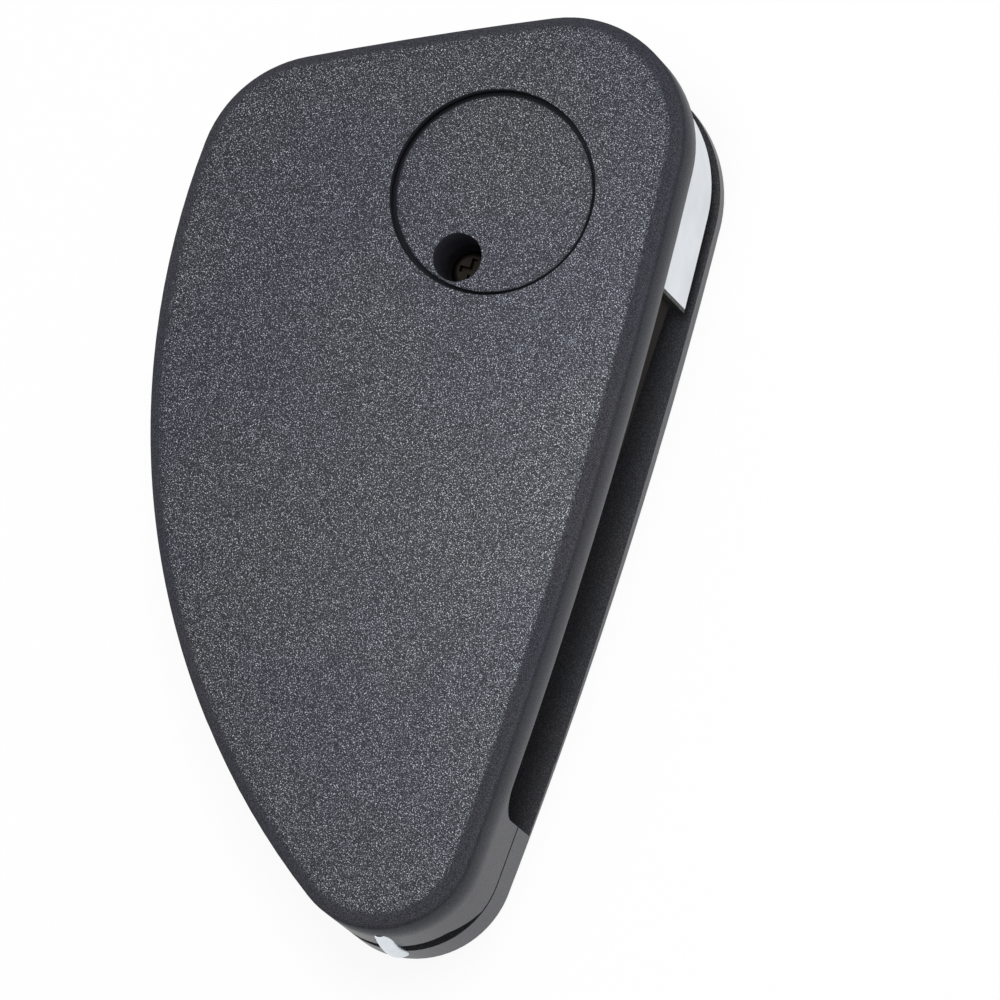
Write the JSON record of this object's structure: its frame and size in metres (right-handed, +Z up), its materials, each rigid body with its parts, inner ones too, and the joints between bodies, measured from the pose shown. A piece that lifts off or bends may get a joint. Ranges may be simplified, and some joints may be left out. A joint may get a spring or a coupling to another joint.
{
  "type": "flip key remote",
  "caption": "Folding car key with remote: teardrop case, round badge seat on the back, blade folded in a side slot, bar for a key ring at the tip.",
  "frame": {"origin": "middle of the underside, which is the plane of the front face with the buttons", "axes": "+Z up out of the back of the key, +Y towards the head with the blade's pivot, +X towards the blade slot"},
  "size_m": [0.038, 0.0714, 0.0157],
  "materials": {
    "case_plastic": "dark blue-grey, fine spark-eroded grain",
    "carrier_plastic": "black, fine grain",
    "satin_trim": "silver satin",
    "blade_steel": "nickel plated, lightly brushed",
    "pin_steel": "plain",
    "spring_steel": "drawn wire",
    "release_plastic": "silver satin",
    "button_plastic": "fine matt",
    "switch_plastic": "moulded",
    "pad_rubber": "soft matt",
    "board_laminate": "green solder resist",
    "chip_plastic": "moulded",
    "crystal_can": "pressed can",
    "capacitor_ceramic": "ceramic",
    "cell_steel": "nickel plated",
    "contact_metal": "nickel plated leaf",
    "transponder_plastic": "moulded",
    "screw_steel": "blackened",
    "bar_metal": "nickel plated, satin"
  },
  "bodies": {
    "case": {"rear_shell": "case_plastic", "front_shell": "case_plastic", "key_ring_bar": "bar_metal", "case_screw": "screw_steel", "button_pad": "pad_rubber", "circuit_board": "board_laminate", "microcontroller": "chip_plastic", "crystal": "crystal_can", "board_capacitors": "capacitor_ceramic", "coin_cell": "cell_steel", "cell_contact_plus": "contact_metal", "cell_contact_minus": "contact_metal", "transponder_chip": "transponder_plastic", "lock_switch": "switch_plastic", "unlock_switch": "switch_plastic", "trunk_switch": "switch_plastic"},
    "blade": {"blade_carrier": "carrier_plastic", "carrier_trim": "satin_trim", "key_blade": "blade_steel", "blade_roll_pin": "pin_steel", "flip_spring": "spring_steel"},
    "release": {"release_button": "release_plastic"},
    "lock": {"lock_button": "button_plastic"},
    "unlock": {"unlock_button": "button_plastic"},
    "trunk": {"trunk_button": "button_plastic"}
  },
  "joints": [
    {"name": "blade_flip", "type": "hinge", "parent": "case", "child": "blade", "pos_m": [0.0112, 0.02712, 0.0076], "axis": [0, -0.0462, 0.9989], "range_deg": [0, 180]},
    {"name": "release_press", "type": "slide", "parent": "blade", "child": "release", "axis": [0, -0.0462, 0.9989], "range_m": [0, 0.002], "stiffness_N_per_m": 1500, "springref_m": -0.002, "deforming": ["flip_spring"]},
    {"name": "lock_press", "type": "slide", "parent": "case", "child": "lock", "axis": [0, -0.0462, 0.9989], "range_m": [0, 0.0005], "stiffness_N_per_m": 3000, "springref_m": -0.0002},
    {"name": "unlock_press", "type": "slide", "parent": "case", "child": "unlock", "axis": [0, -0.0462, 0.9989], "range_m": [0, 0.0005], "stiffness_N_per_m": 3000, "springref_m": -0.0002},
    {"name": "trunk_press", "type": "slide", "parent": "case", "child": "trunk", "axis": [0, -0.0462, 0.9989], "range_m": [0, 0.0005], "stiffness_N_per_m": 3000, "springref_m": -0.0002}
  ]
}
